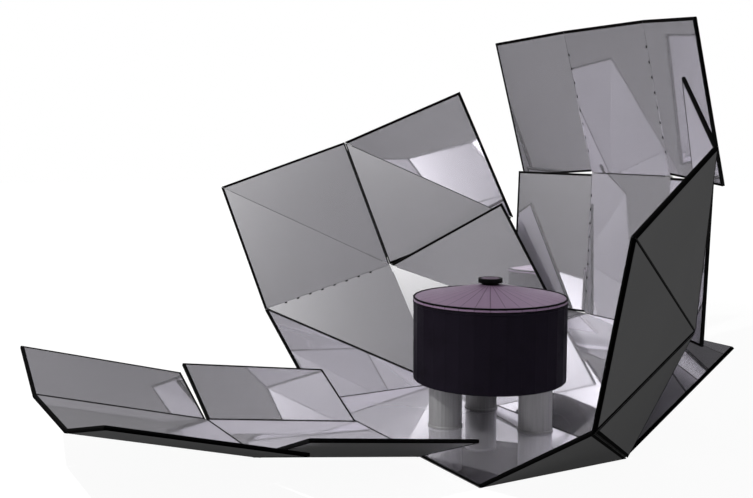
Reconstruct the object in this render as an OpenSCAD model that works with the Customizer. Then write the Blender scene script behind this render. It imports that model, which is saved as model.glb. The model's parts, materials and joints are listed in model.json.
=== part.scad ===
// Folding solar oven: a sheet of mirror-faced panels on pinned hinges, folded round a pot.
// Frame: +Z up, +Y from the low front apron to the tall back wall, +X to the right.
// Origin: the centre of the floor panel's underside. All lengths are millimetres.
// The flat sheet is laid out in the XY plane; every panel is then folded up about its creases.

/* [Panel sheet] */
// Side of one square cell: the length of every row and the side of every wing square
cell = 250; // [200:5:320]
// Width of the middle column, between the two lines of flap creases
column_w = 188; // [140:2:240]
// Width of one side flap, from its crease to the sheet's edge
flap_w = 148.5; // [100:0.5:200]
// Thickness of a panel: twin-skin board with mirror film on its inner face
board_t = 4; // [3:0.5:6]
// Gap between a crease's knuckles and the edge of the panel beside them
crease_gap = 0.5; // [0.3:0.1:2]
// Gap by which each panel clears the slit beside it, once folded
slit_gap = 0.5; // [0.3:0.1:2]
// Gap between the corner wall's lower edge and the back ramp that it stands over
corner_gap = 1.6; // [1:0.1:8]
// Length cut square off the corner wall's tip, so that it passes the back flap as the sheet opens
tip_cut = 22; // [18:1:40]

/* [Row folds] */
// Rise of the inner apron row from the floor, in degrees
apron_inner_fold = 8.6; // [0:0.1:20]
// Further rise of the outer apron row
apron_outer_fold = 7; // [0:0.1:20]
// Fold of the flaps beside the inner apron
apron_inner_flap_fold = 22.3; // [5:0.1:40]
// Fold of the flaps beside the outer apron
apron_outer_flap_fold = 15.8; // [0:0.1:20]
// Rise of the back ramp from the floor
ramp_fold = 32.8; // [25:0.1:40]
// Further rise of the lower back wall
back_lower_fold = 55; // [45:0.1:65]
// Fold of the flaps beside the lower back wall
back_lower_flap_fold = 22.4; // [5:0.1:30]
// Further lean of the upper back wall over the pot
back_upper_fold = 18.3; // [5:0.1:25]
// Fold of the flaps beside the upper back wall
back_upper_flap_fold = 15.9; // [0:0.1:20]

/* [Wing folds] */
// Rise of the lower gusset from the floor's side edge
gusset_lower_fold = 30.6; // [20:0.1:36]
// Fold between the two gussets, along their shared diagonal
gusset_upper_fold = 36.7; // [25:0.1:45]
// Fold of the front half of the side wall from the upper gusset
wall_front_fold = 11.1; // [0:0.1:20]
// Fold between the two halves of the side wall
wall_rear_fold = 8.6; // [0:0.1:20]
// Fold of the lower half of the wing from the side wall
wing_lower_fold = 16; // [5:0.1:20]
// Fold between the two halves of the wing
wing_upper_fold = 16; // [0:0.1:20]
// Fold between the two halves of the corner wall
corner_upper_fold = 18.4; // [0:0.1:25]

/* [Hinges] */
// Diameter of a steel hinge pin
pin_d = 1.6; // [1.2:0.1:2]
// Running clearance between a pin and its bore, on the radius
pin_clearance = 0.05; // [0.02:0.01:0.1]
// Distance from a crease's end to its first knuckle
hinge_end = 16; // [14:1:30]
// Gap between two neighbouring knuckles
knuckle_gap = 0.5; // [0.3:0.1:1]
// Knuckles on one crease: an odd number, the outer ones on the panel nearer the floor
knuckle_count = 5; // [3:2:9]
// Depth of each end of a pin inside its outer knuckle
pin_recess = 2; // [1:0.5:6]

/* [Pot] */
// Outer diameter of the pot
pot_d = 240; // [180:2:260]
// Height of the pot's body, without its lid
pot_h = 123; // [90:1:160]
// Thickness of the pot's wall and floor
pot_wall = 1.5; // [1:0.1:3]
// Radius of the pot's bottom edge
pot_edge_r = 3; // [2.5:0.5:20]
// Distance of the pot's centre behind the floor's centre
pot_y = 61; // [40:1:70]

/* [Lid] */
// Height of the lid's upright rim
lid_rim_h = 6; // [4:0.5:12]
// Rise of the lid's cone from its rim to the knob
lid_rise = 20; // [10:1:40]
// Thickness of the lid
lid_t = 1.5; // [1.2:0.1:3]
// Depth of the ring under the lid that centres it in the pot
lid_ring_h = 5; // [3:0.5:12]
// Gap between the lid's ring and the pot's wall
lid_clearance = 0.6; // [0.3:0.1:2]
// Diameter of the knob's grip
knob_d = 38; // [26:1:50]
// Thickness of the knob's grip
knob_t = 7; // [5:0.5:12]
// Diameter of the knob's neck
neck_d = 28; // [16:1:34]
// Height of the knob's neck above the lid
neck_h = 3; // [2:0.5:15]
// Diameter of the knob's screw
screw_d = 4; // [3:0.5:6]
// Clearance round the screw in its holes, on the radius
screw_clearance = 0.05; // [0.02:0.01:0.1]

/* [Stand cans] */
// Diameter of each can under the pot
can_d = 54; // [45:1:56]
// Height of each can, which holds the pot off the floor
can_h = 68; // [45:1:90]
// Thickness of a can's wall
can_wall = 0.8; // [0.5:0.1:2]
// Height of a can's seam at each end
can_seam_h = 3; // [2:0.5:5]
// Width of a can's seam
can_seam_w = 1.2; // [0.8:0.1:2]
// Depth of a can's sunk end
can_sink = 2.5; // [1:0.5:5]
// Gap between pieces that only stand on each other
rest_gap = 0.1; // [0.05:0.01:0.3]

/* [Hidden] */
$fn = 72;
overlap = 1;
half = cell / 2;
column_x = column_w / 2;
edge_x = column_x + flap_w;
wall_x = edge_x + cell;
wing_x = wall_x + cell;
front_y = -half;
apron_y = front_y - cell;
sheet_front_y = apron_y - cell;
back_y = half;
ramp_y = back_y + cell;
lower_y = ramp_y + cell;
sheet_back_y = lower_y + cell;
axis_z = board_t / 2;
knuckle_r = board_t / 2;
bore_r = pin_d / 2 + pin_clearance;
crease_setback = knuckle_r + crease_gap;
slit_cut = board_t / 2 + slit_gap;
// The corner wall stands over the ramp at about 49 degrees, so its thickness adds 1.1 times itself
corner_cut = 1.1 * board_t + corner_gap;
// The cans' centres, from the pot's centre: set down by hand, so their triangle is uneven
can_at = pot_d / 240 * [[-10, -75], [78, 31], [-70, 34]];
pot_z = board_t + can_h + 2 * rest_gap;
lid_z = pot_z + pot_h + rest_gap;
cone_z = lid_z + lid_rim_h;
neck_r = neck_d / 2;
lid_top_z = cone_z + lid_rise;
screw_head_h = 2.5;
screw_head_d = screw_d + 6;
screw_grip = neck_h + knob_t / 2;

// Corners of the flat sheet on the right-hand side
P0 = [edge_x, front_y];
P1 = [edge_x, back_y];
R = [wall_x, front_y];
S = [wall_x, back_y];
U = [wing_x, front_y];
V = [wing_x, back_y];
X1 = [wing_x, ramp_y];
X2 = [wall_x, ramp_y];
Y1 = [wall_x, ramp_y];
Y2 = [edge_x, ramp_y];
// The corner wall's tip is cut square to its diagonal S-Y2, at tip_mid, from tip_low to tip_high
tip_mid = Y2 + tip_cut * unit2(S - Y2);
tip_low = Y2 + tip_cut * sqrt(2) * unit2(P1 - Y2);
tip_high = Y2 + tip_cut * sqrt(2) * unit2(Y1 - Y2);

// Kinds of panel edge
CREASE = 0;
SLIT = 1;
FREE = 2;
CORNER = 3;
function cut_width(kind) =
    kind == CREASE ? crease_setback :
    kind == SLIT ? slit_cut :
    kind == CORNER ? corner_cut : 0;

function unit2(v) = v / norm(v);
function left_of(v) = [-v[1], v[0]];
function cross2(a, b) = a[0] * b[1] - a[1] * b[0];
// Point where the lines p + s * u and q + t * v meet
function meet(p, u, q, v) = p + u * cross2(q - p, v) / cross2(u, v);
// A convex outline, counterclockwise, with each edge moved inwards by its own width
function trimmed(pts, kinds) = [
    for (i = [0 : len(pts) - 1])
        let (
            n = len(pts),
            a = pts[(i + n - 1) % n],
            b = pts[i],
            c = pts[(i + 1) % n],
            u = unit2(b - a),
            v = unit2(c - b),
            p = a + left_of(u) * cut_width(kinds[(i + n - 1) % n]),
            q = b + left_of(v) * cut_width(kinds[i])
        )
        meet(p, u, q, v)
];

// Length of one knuckle on a crease of the given length
function knuckle_len(crease_len) =
    (crease_len - 2 * hinge_end - (knuckle_count - 1) * knuckle_gap) / knuckle_count;

// Places children with +X along the crease from a to b, +Y into the panel, at the axis
module on_crease(a, b) {
    d = b - a;
    translate([a[0], a[1], axis_z]) rotate([0, 0, atan2(d[1], d[0])]) children();
}

// The knuckles that one panel has along its crease from a to b; first is 0 or 1
module knuckles(a, b, first) {
    pitch = knuckle_len(norm(b - a)) + knuckle_gap;
    on_crease(a, b)
    for (i = [first : 2 : knuckle_count - 1])
        translate([hinge_end + i * pitch, 0, 0]) knuckle(pitch - knuckle_gap);
}

module knuckle(length) {
    difference() {
        union() {
            rotate([0, 90, 0]) cylinder(r = knuckle_r, h = length);
            translate([0, 0, -knuckle_r]) cube([length, crease_setback + overlap, board_t]);
        }
        translate([-overlap, 0, 0]) rotate([0, 90, 0]) cylinder(r = bore_r, h = length + 2 * overlap);
    }
}

module hinge_pin(a, b) {
    start = hinge_end + pin_recess;
    color("dimgray")
    on_crease(a, b)
    translate([start, 0, 0]) rotate([0, 90, 0]) cylinder(d = pin_d, h = norm(b - a) - 2 * start);
}

// One panel: its outline and the kind of each edge, then its creases, each from a to b with
// the panel on the left. On an outer crease it carries the panel beyond, so it has the end
// knuckles; on an inner crease it is the one carried.
module panel(pts, kinds, outer, inner) {
    color("lightsteelblue") {
        linear_extrude(board_t) polygon(trimmed(pts, kinds));
        for (c = outer) knuckles(c[0], c[1], 0);
        for (c = inner) knuckles(c[0], c[1], 1);
    }
}

// Turns children about the crease from a to b; its left side rises towards the mirror side
module fold(a, b, angle) {
    translate([a[0], a[1], axis_z])
    rotate(a = angle, v = [b[0] - a[0], b[1] - a[1], 0])
    translate([-a[0], -a[1], -axis_z]) children();
}

module flipped(left) {
    if (left) mirror([1, 0, 0]) children();
    else children();
}

// Where each row of the sheet is after folding
module at_apron_inner() { fold([1, front_y], [0, front_y], apron_inner_fold) children(); }
module at_apron_outer() { at_apron_inner() fold([1, apron_y], [0, apron_y], apron_outer_fold) children(); }
module at_ramp() { fold([0, back_y], [1, back_y], ramp_fold) children(); }
module at_back_lower() { at_ramp() fold([0, ramp_y], [1, ramp_y], back_lower_fold) children(); }
module at_back_upper() { at_back_lower() fold([0, lower_y], [1, lower_y], back_upper_fold) children(); }
// A flap's crease runs along Y, so one module turns the flap of any row
module flap_turn(angle) { fold([column_x, 1], [column_x, 0], angle) children(); }

// The wing: each panel is carried by the one before it
module at_gusset_lower() { fold(P1, P0, gusset_lower_fold) children(); }
module at_gusset_upper() { at_gusset_lower() fold(P1, R, gusset_upper_fold) children(); }
module at_wall_front() { at_gusset_upper() fold(S, R, wall_front_fold) children(); }
module at_wall_rear() { at_wall_front() fold(S, U, wall_rear_fold) children(); }
module at_wing_lower() { at_wall_rear() fold(S, V, wing_lower_fold) children(); }
module at_wing_upper() { at_wing_lower() fold(X2, V, wing_upper_fold) children(); }
module at_corner_lower() { at_gusset_upper() fold(P1, S, corner_lower_fold) children(); }
module at_corner_upper() { at_corner_lower() fold(Y2, S, corner_upper_fold) children(); }

// The creases on which a panel carries others, each with that panel on its left
function flap_creases(near_y, far_y) = [
    [[column_x, near_y], [column_x, far_y]],
    [[-column_x, far_y], [-column_x, near_y]]
];
floor_creases = [
    [[-column_x, front_y], [column_x, front_y]],
    [P0, P1],
    [P1, [-edge_x, back_y]],
    [[-edge_x, back_y], [-edge_x, front_y]]
];
apron_inner_creases = concat(
    [[[-column_x, apron_y], [column_x, apron_y]]], flap_creases(apron_y, front_y)
);
ramp_crease = [[column_x, ramp_y], [-column_x, ramp_y]];
back_lower_creases = concat(
    [[[column_x, lower_y], [-column_x, lower_y]]], flap_creases(ramp_y, lower_y)
);
// Outline of a middle panel between two rows' lines
function column_outline(near_y, far_y) = [
    [-column_x, near_y], [column_x, near_y], [column_x, far_y], [-column_x, far_y]
];

// Direction v turned about the unit axis k by an angle
function turned(v, k, angle) =
    v * cos(angle) + cross(k, v) * sin(angle) + k * (k * v) * (1 - cos(angle));
gusset_diagonal = turned([1, -1, 0] / sqrt(2), [0, -1, 0], gusset_lower_fold);
function on_gusset_upper(v) =
    turned(turned(v, [0, -1, 0], gusset_lower_fold), gusset_diagonal, gusset_upper_fold);
// The corner wall folds in until its lower edge lies in the plane of the back ramp:
// that edge turns about the crease P1-S from edge_dir towards edge_up
edge_dir = on_gusset_upper([0, 1, 0]);
edge_up = cross(on_gusset_upper([1, 0, 0]), edge_dir);
ramp_normal = [0, -sin(ramp_fold), cos(ramp_fold)];
corner_lower_fold = atan2(-(edge_dir * ramp_normal), edge_up * ramp_normal);

module floor_panel() {
    panel(
        [[-edge_x, front_y], P0, P1, [-edge_x, back_y]],
        [CREASE, CREASE, CREASE, CREASE],
        floor_creases, []
    );
}

module floor_hinge_pins() {
    for (c = floor_creases) hinge_pin(c[0], c[1]);
}

module apron_inner() {
    at_apron_inner()
    panel(
        column_outline(apron_y, front_y), [CREASE, CREASE, CREASE, CREASE],
        apron_inner_creases, [[[column_x, front_y], [-column_x, front_y]]]
    );
}

module apron_inner_hinge_pins() {
    at_apron_inner() for (c = apron_inner_creases) hinge_pin(c[0], c[1]);
}

module apron_outer() {
    at_apron_outer()
    panel(
        column_outline(sheet_front_y, apron_y), [FREE, CREASE, CREASE, CREASE],
        flap_creases(sheet_front_y, apron_y), [[[column_x, apron_y], [-column_x, apron_y]]]
    );
}

module apron_outer_hinge_pins() {
    at_apron_outer() for (c = flap_creases(sheet_front_y, apron_y)) hinge_pin(c[0], c[1]);
}

// A right-hand flap between two rows' lines; ends gives the kinds of its front and back edges
module flap(near_y, far_y, angle, ends) {
    flap_turn(angle)
    panel(
        [[column_x, near_y], [edge_x, near_y], [edge_x, far_y], [column_x, far_y]],
        [ends[0], FREE, ends[1], CREASE],
        [], [[[column_x, far_y], [column_x, near_y]]]
    );
}

module apron_inner_flap(left) {
    flipped(left) at_apron_inner() flap(apron_y, front_y, apron_inner_flap_fold, [SLIT, SLIT]);
}

module apron_outer_flap(left) {
    flipped(left) at_apron_outer() flap(sheet_front_y, apron_y, apron_outer_flap_fold, [FREE, SLIT]);
}

module back_ramp() {
    at_ramp()
    panel(
        [[-edge_x, back_y], P1, Y2, [-edge_x, ramp_y]], [CREASE, SLIT, CREASE, SLIT],
        [ramp_crease], [[[-edge_x, back_y], P1]]
    );
}

module back_ramp_hinge_pin() {
    at_ramp() hinge_pin(ramp_crease[0], ramp_crease[1]);
}

module back_lower() {
    at_back_lower()
    panel(
        column_outline(ramp_y, lower_y), [CREASE, CREASE, CREASE, CREASE],
        back_lower_creases, [[[-column_x, ramp_y], [column_x, ramp_y]]]
    );
}

module back_lower_hinge_pins() {
    at_back_lower() for (c = back_lower_creases) hinge_pin(c[0], c[1]);
}

module back_upper() {
    at_back_upper()
    panel(
        column_outline(lower_y, sheet_back_y), [CREASE, CREASE, FREE, CREASE],
        flap_creases(lower_y, sheet_back_y), [[[-column_x, lower_y], [column_x, lower_y]]]
    );
}

module back_upper_hinge_pins() {
    at_back_upper() for (c = flap_creases(lower_y, sheet_back_y)) hinge_pin(c[0], c[1]);
}

module back_lower_flap(left) {
    flipped(left) at_back_lower() flap(ramp_y, lower_y, back_lower_flap_fold, [SLIT, SLIT]);
}

module back_upper_flap(left) {
    flipped(left) at_back_upper() flap(lower_y, sheet_back_y, back_upper_flap_fold, [SLIT, FREE]);
}

module gusset_lower(left) {
    flipped(left) at_gusset_lower() panel([P0, R, P1], [FREE, CREASE, CREASE], [[R, P1]], [[P1, P0]]);
}

module gusset_lower_pin(left) {
    flipped(left) at_gusset_lower() hinge_pin(R, P1);
}

module gusset_upper(left) {
    flipped(left) at_gusset_upper() panel([P1, R, S], [CREASE, CREASE, CREASE], [[R, S], [S, P1]], [[P1, R]]);
}

module gusset_upper_pins(left) {
    flipped(left) at_gusset_upper() {
        hinge_pin(R, S);
        hinge_pin(S, P1);
    }
}

module side_wall_front(left) {
    flipped(left) at_wall_front() panel([R, U, S], [FREE, CREASE, CREASE], [[U, S]], [[S, R]]);
}

module side_wall_front_pin(left) {
    flipped(left) at_wall_front() hinge_pin(U, S);
}

module side_wall_rear(left) {
    flipped(left) at_wall_rear() panel([U, V, S], [FREE, CREASE, CREASE], [[V, S]], [[S, U]]);
}

module side_wall_rear_pin(left) {
    flipped(left) at_wall_rear() hinge_pin(V, S);
}

module wing_lower(left) {
    flipped(left) at_wing_lower() panel([S, V, X2], [CREASE, CREASE, SLIT], [[V, X2]], [[S, V]]);
}

module wing_lower_pin(left) {
    flipped(left) at_wing_lower() hinge_pin(V, X2);
}

module wing_upper(left) {
    flipped(left) at_wing_upper() panel([V, X1, X2], [FREE, FREE, CREASE], [], [[X2, V]]);
}

module corner_wall_lower(left) {
    flipped(left) at_corner_lower()
    panel([P1, S, tip_mid, tip_low], [CREASE, CREASE, FREE, CORNER], [[S, tip_mid]], [[P1, S]]);
}

module corner_wall_pin(left) {
    flipped(left) at_corner_lower() hinge_pin(S, tip_mid);
}

module corner_wall_upper(left) {
    flipped(left) at_corner_upper()
    panel([S, Y1, tip_high, tip_mid], [SLIT, FREE, FREE, CREASE], [], [[tip_mid, S]]);
}

// An empty tin can standing on its open end, with a rolled seam round each end
module stand_can(at) {
    r = can_d / 2;
    body_r = r - can_seam_w;
    inner_r = body_r - can_wall;
    sunk_z = can_h - can_sink;
    color("silver")
    translate([at[0], pot_y + at[1], board_t + rest_gap])
    rotate_extrude()
    polygon([
        [0, sunk_z], [0, sunk_z - can_wall], [inner_r, sunk_z - can_wall], [inner_r, 0], [r, 0],
        [r, can_seam_h], [body_r, can_seam_h + can_seam_w],
        [body_r, can_h - can_seam_h - can_seam_w], [r, can_h - can_seam_h],
        [r, can_h], [inner_r, can_h], [inner_r, sunk_z]
    ]);
}

function arc_points(centre, r, from, to, steps) = [
    for (i = [0 : steps]) centre + r * [cos(from + (to - from) * i / steps), sin(from + (to - from) * i / steps)]
];

// A plain round pan, open at the top
module pot_body() {
    r = pot_d / 2;
    inner_r = r - pot_wall;
    inner_edge_r = pot_edge_r - pot_wall;
    edge_x = r - pot_edge_r;
    color("black")
    translate([0, pot_y, pot_z])
    rotate_extrude($fn = 144)
    polygon(concat(
        [[0, 0]],
        arc_points([edge_x, pot_edge_r], pot_edge_r, -90, 0, 6),
        [[r, pot_h], [inner_r, pot_h]],
        arc_points([edge_x, pot_edge_r], inner_edge_r, 0, -90, 6),
        [[0, pot_wall]]
    ));
}

// The lid: an upright rim, a shallow cone and a ring that centres it inside the pot
module pot_lid() {
    r = pot_d / 2;
    ring_r = r - pot_wall - lid_clearance;
    color("dimgray")
    translate([0, pot_y, lid_z])
    difference() {
        rotate_extrude($fn = 144)
        polygon([
            [0, lid_rim_h + lid_rise - lid_t], [neck_r, lid_rim_h + lid_rise - lid_t],
            [ring_r - lid_t, lid_rim_h - lid_t], [ring_r - lid_t, -lid_ring_h], [ring_r, -lid_ring_h],
            [ring_r, 0], [r, 0], [r, lid_rim_h],
            [neck_r, lid_rim_h + lid_rise], [0, lid_rim_h + lid_rise]
        ]);
        translate([0, 0, lid_rim_h]) cylinder(r = screw_d / 2 + screw_clearance, h = lid_rise + overlap);
    }
}

module lid_knob() {
    grip_r = knob_d / 2;
    chamfer = knob_t / 7;
    color("black")
    translate([0, pot_y, lid_top_z])
    difference() {
        rotate_extrude()
        polygon([
            [0, 0], [neck_r, 0], [neck_r, neck_h], [grip_r - chamfer, neck_h],
            [grip_r, neck_h + chamfer], [grip_r, neck_h + knob_t - chamfer],
            [grip_r - chamfer, neck_h + knob_t], [0, neck_h + knob_t]
        ]);
        translate([0, 0, -overlap])
        cylinder(r = screw_d / 2 + screw_clearance, h = screw_grip + 2 * overlap);
    }
}

module knob_screw() {
    color("silver")
    translate([0, pot_y, lid_top_z - lid_t]) {
        translate([0, 0, -screw_head_h]) cylinder(d = screw_head_d, h = screw_head_h);
        cylinder(d = screw_d, h = lid_t + screw_grip);
    }
}

floor_panel();
floor_hinge_pins();
apron_inner();
apron_inner_hinge_pins();
apron_inner_flap(true);  // apron_inner_flap_left
apron_inner_flap(false);  // apron_inner_flap_right
apron_outer();
apron_outer_hinge_pins();
apron_outer_flap(true);  // apron_outer_flap_left
apron_outer_flap(false);  // apron_outer_flap_right
back_ramp();
back_ramp_hinge_pin();
back_lower();
back_lower_hinge_pins();
back_lower_flap(true);  // back_lower_flap_left
back_lower_flap(false);  // back_lower_flap_right
back_upper();
back_upper_hinge_pins();
back_upper_flap(true);  // back_upper_flap_left
back_upper_flap(false);  // back_upper_flap_right
gusset_lower(true);  // gusset_lower_left
gusset_lower(false);  // gusset_lower_right
gusset_lower_pin(true);  // gusset_lower_pin_left
gusset_lower_pin(false);  // gusset_lower_pin_right
gusset_upper(true);  // gusset_upper_left
gusset_upper(false);  // gusset_upper_right
gusset_upper_pins(true);  // gusset_upper_pins_left
gusset_upper_pins(false);  // gusset_upper_pins_right
side_wall_front(true);  // side_wall_front_left
side_wall_front(false);  // side_wall_front_right
side_wall_front_pin(true);  // side_wall_front_pin_left
side_wall_front_pin(false);  // side_wall_front_pin_right
side_wall_rear(true);  // side_wall_rear_left
side_wall_rear(false);  // side_wall_rear_right
side_wall_rear_pin(true);  // side_wall_rear_pin_left
side_wall_rear_pin(false);  // side_wall_rear_pin_right
wing_lower(true);  // wing_lower_left
wing_lower(false);  // wing_lower_right
wing_lower_pin(true);  // wing_lower_pin_left
wing_lower_pin(false);  // wing_lower_pin_right
wing_upper(true);  // wing_upper_left
wing_upper(false);  // wing_upper_right
corner_wall_lower(true);  // corner_wall_lower_left
corner_wall_lower(false);  // corner_wall_lower_right
corner_wall_pin(true);  // corner_wall_pin_left
corner_wall_pin(false);  // corner_wall_pin_right
corner_wall_upper(true);  // corner_wall_upper_left
corner_wall_upper(false);  // corner_wall_upper_right
stand_can(can_at[0]);  // stand_can_front
stand_can(can_at[1]);  // stand_can_right
stand_can(can_at[2]);  // stand_can_left
pot_body();
pot_lid();
lid_knob();
knob_screw();
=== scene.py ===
"""The looks of a folding solar oven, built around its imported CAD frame.

Lengths are metres in the part's own frame: +Z up, +Y from the low apron to the tall back
wall, +X to the right, and the origin at the centre of the floor panel's underside. The
flat sheet is laid out in the XY plane, and each panel is then folded up about its crease.
"""

from __future__ import annotations

import functools
import json
import logging
import math
from dataclasses import dataclass, field
from enum import Enum

import bpy
import numpy as np
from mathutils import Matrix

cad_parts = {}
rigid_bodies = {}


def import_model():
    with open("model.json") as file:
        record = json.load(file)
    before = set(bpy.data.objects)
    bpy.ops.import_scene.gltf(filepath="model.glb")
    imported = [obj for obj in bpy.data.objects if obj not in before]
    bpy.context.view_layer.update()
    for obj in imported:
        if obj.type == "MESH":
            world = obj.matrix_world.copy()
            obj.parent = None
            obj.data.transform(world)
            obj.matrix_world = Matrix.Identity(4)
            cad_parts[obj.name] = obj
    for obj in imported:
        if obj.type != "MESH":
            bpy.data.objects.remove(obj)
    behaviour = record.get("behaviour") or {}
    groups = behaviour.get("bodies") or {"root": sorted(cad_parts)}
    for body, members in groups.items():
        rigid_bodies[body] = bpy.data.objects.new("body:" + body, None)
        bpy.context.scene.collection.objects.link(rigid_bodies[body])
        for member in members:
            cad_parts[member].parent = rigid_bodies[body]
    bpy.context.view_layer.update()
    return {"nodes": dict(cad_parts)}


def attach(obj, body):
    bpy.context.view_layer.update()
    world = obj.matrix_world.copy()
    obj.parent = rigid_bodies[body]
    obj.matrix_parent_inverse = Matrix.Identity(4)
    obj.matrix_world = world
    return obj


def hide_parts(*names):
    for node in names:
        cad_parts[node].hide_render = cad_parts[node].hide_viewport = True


LOG = logging.getLogger("solar_oven")
Points = np.ndarray
Colour = tuple[float, float, float]
Material = bpy.types.Material


def grey(level: float) -> Colour:
    """Returns a linear colour from an sRGB grey of 0 to 1."""
    linear = level / 12.92 if level <= 0.04045 else ((level + 0.055) / 1.055) ** 2.4
    return (linear, linear, linear)


class Socket:
    """One output socket of a node tree; Python's operators on it add Math nodes."""

    def __init__(self, sheet: NodeSheet, output: bpy.types.NodeSocket) -> None:
        """Wraps an output socket of the sheet's tree."""
        self.sheet = sheet
        self.output = output

    def math(self, operation: str, *others: Socket | float) -> Socket:
        """Returns the result of one Math node with this socket first."""
        return self.sheet.node("ShaderNodeMath", {"operation": operation}, (self, *others))

    __add__ = functools.partialmethod(math, "ADD")
    __sub__ = functools.partialmethod(math, "SUBTRACT")
    __mul__ = functools.partialmethod(math, "MULTIPLY")
    __pow__ = functools.partialmethod(math, "POWER")

    def __rsub__(self, other: float) -> Socket:
        """Returns other - self."""
        return self * -1.0 + other

    def step(self, low: float, high: float) -> Socket:
        """Returns 0 below low, 1 above high and a smooth ramp between."""
        settings = {"interpolation_type": "SMOOTHSTEP"}
        values = {"Value": self, "From Min": low, "From Max": high}
        return self.sheet.node("ShaderNodeMapRange", settings, values)


class NodeSheet:
    """A node tree that is built by expressions."""

    def __init__(self, tree: bpy.types.NodeTree) -> None:
        """Keeps the tree."""
        self.tree = tree

    def node(
        self,
        kind: str,
        settings: dict | None = None,
        values: dict | tuple = (),
        output: str | int = 0,
    ) -> Socket:
        """Adds one node.

        Args:
            kind: the node's type.
            settings: its properties, set first.
            values: a value or link for each input, by name or in order.
            output: which output to return.
        Returns:
            That output.
        """
        made = self.tree.nodes.new(kind)
        for key, value in (settings or {}).items():
            setattr(made, key, value)
        pairs = values.items() if isinstance(values, dict) else enumerate(values)
        for key, value in pairs:
            self.feed(made.inputs[key], value)
        return Socket(self, made.outputs[output])

    def feed(self, socket: bpy.types.NodeSocket, value: object) -> None:
        """Links an input to a Socket, or sets its value."""
        if isinstance(value, Socket):
            self.tree.links.new(value.output, socket)
        elif isinstance(value, tuple) and len(value) == 3 and socket.type == "RGBA":
            socket.default_value = (*value, 1.0)
        else:
            socket.default_value = value

    def mix(self, factor: Socket | float, first: object, second: object) -> Socket:
        """Returns a colour between first and second."""
        values = {0: factor, 6: first, 7: second}
        return self.node("ShaderNodeMix", {"data_type": "RGBA"}, values, 2)


class Surface(NodeSheet):
    """A material with one Principled shader."""

    def __init__(self, name: str, colour: Colour, roughness: float, metallic: float = 0.0) -> None:
        """Makes the material with plain values on the shader's own sockets."""
        self.material = bpy.data.materials.new(name)
        self.material.use_nodes = True
        super().__init__(self.material.node_tree)
        self.shader = self.tree.nodes["Principled BSDF"]
        self.set("Base Color", (*colour, 1.0))
        self.set("Roughness", roughness)
        self.set("Metallic", metallic)
        self.material.diffuse_color = (*colour, 1.0)

    def set(self, name: str, value: object) -> None:
        """Sets or links one socket of the shader."""
        self.feed(self.shader.inputs[name], value)

    def place(self, axis: str | None = None) -> Socket:
        """Returns the point's own coordinates, or one of them."""
        point = self.node("ShaderNodeTexCoord", output="Object")
        return point if axis is None else self.node("ShaderNodeSeparateXYZ", {}, (point,), axis)

    def noise(self, scale: float, detail: float, roughness: float, *place: Socket) -> Socket:
        """Returns 3-D noise around 0.5 at a scale per metre of the point's place."""
        values = {"Vector": place[0] if place else self.place(), "Scale": scale}
        values |= {"Detail": detail, "Roughness": roughness}
        return self.node("ShaderNodeTexNoise", {}, values)

    def bump(self, height: Socket, distance: float) -> None:
        """Feeds the shader's Normal from a height of 0 to 1, times a distance in metres."""
        values = {"Strength": 1.0, "Distance": distance, "Height": height}
        self.set("Normal", self.node("ShaderNodeBump", {}, values))


@dataclass(frozen=True)
class Finish:
    """A finish whose fine grain varies its tone and roughness and stands out a little.

    The roughness is the least, the spread is what the grain adds to it, the relief is the
    grain's height in metres, plain holds other sockets with one value, and streaks scale
    the grain's place along each axis. A cloud is coarse noise: its scale, detail and
    roughness, and the levels where it starts and is full. The shares are what the cloud
    and the grain add to the wear, and the haze is what the cloud adds to the roughness.
    """

    name: str
    colour: Colour
    worn: Colour
    roughness: float
    spread: float
    scale: float
    relief: float = 0.0
    detail: float = 2.0
    coarseness: float = 0.5
    gloss: float = 0.04
    metallic: float = 0.0
    plain: tuple[tuple[str, float], ...] = ()
    streaks: tuple[float, ...] = ()
    cloud: tuple[float, ...] = ()
    shares: tuple[float, float] = (0.0, 1.0)
    haze: float = 0.0

    def build(self) -> Material:
        """Returns the material."""
        made = Surface(self.name, self.colour, self.roughness, self.metallic)
        for socket, value in (("Specular IOR Level", self.gloss), *self.plain):
            made.set(socket, value)
        place = made.place()
        if self.streaks:
            place = made.node("ShaderNodeMapping", {}, {"Vector": place, "Scale": self.streaks})
        grain = made.noise(self.scale, self.detail, self.coarseness, place)
        wear, rougher = grain, grain * self.spread
        if self.cloud:
            cloud = made.noise(*self.cloud[:3]).step(*self.cloud[3:])
            wear = cloud * self.shares[0] + grain * self.shares[1]
            rougher = cloud * self.haze + rougher
        made.set("Base Color", made.mix(wear, self.colour, self.worn))
        made.set("Roughness", rougher + self.roughness)
        if self.relief:
            made.bump(grain, self.relief)
        return made.material


# Aluminised film laminated on board: part mirror, part soft grey haze from its coat
MIRROR_FILM = Finish(
    "mirror_film", (0.93, 0.9, 0.985), (0.89745, 0.8685, 0.950525), roughness=0.012,
    spread=0.01, scale=900.0, relief=0.000002, detail=1.0, gloss=0.5, metallic=0.91,
    plain=(("Coat Weight", 1.0), ("Coat Roughness", 0.455), ("Coat IOR", 1.92)),
    cloud=(7.0, 3.0, 0.5, 0.35, 0.7), shares=(1.0, 0.0), haze=0.033,
)
# The board's outer face: dark grey matte plastic with a fine leathery grain
OUTER_SKIN = Finish(
    "outer_skin", (0.33, 0.33, 0.334), (0.3498, 0.3498, 0.35404), roughness=0.74,
    spread=0.12, scale=650.0, relief=0.00012, detail=3.0, coarseness=0.6, gloss=0.1,
    cloud=(9.0, 2.0, 0.5, 0.3, 0.75), shares=(0.6, 0.3),
)
# The board's core, its cut edges and its hinge knuckles: black moulded plastic
BLACK_BOARD = Finish(
    "black_board", grey(0.07), grey(0.1), roughness=0.53, spread=0.15, scale=500.0,
    relief=0.00008, gloss=0.2,
)
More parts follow.
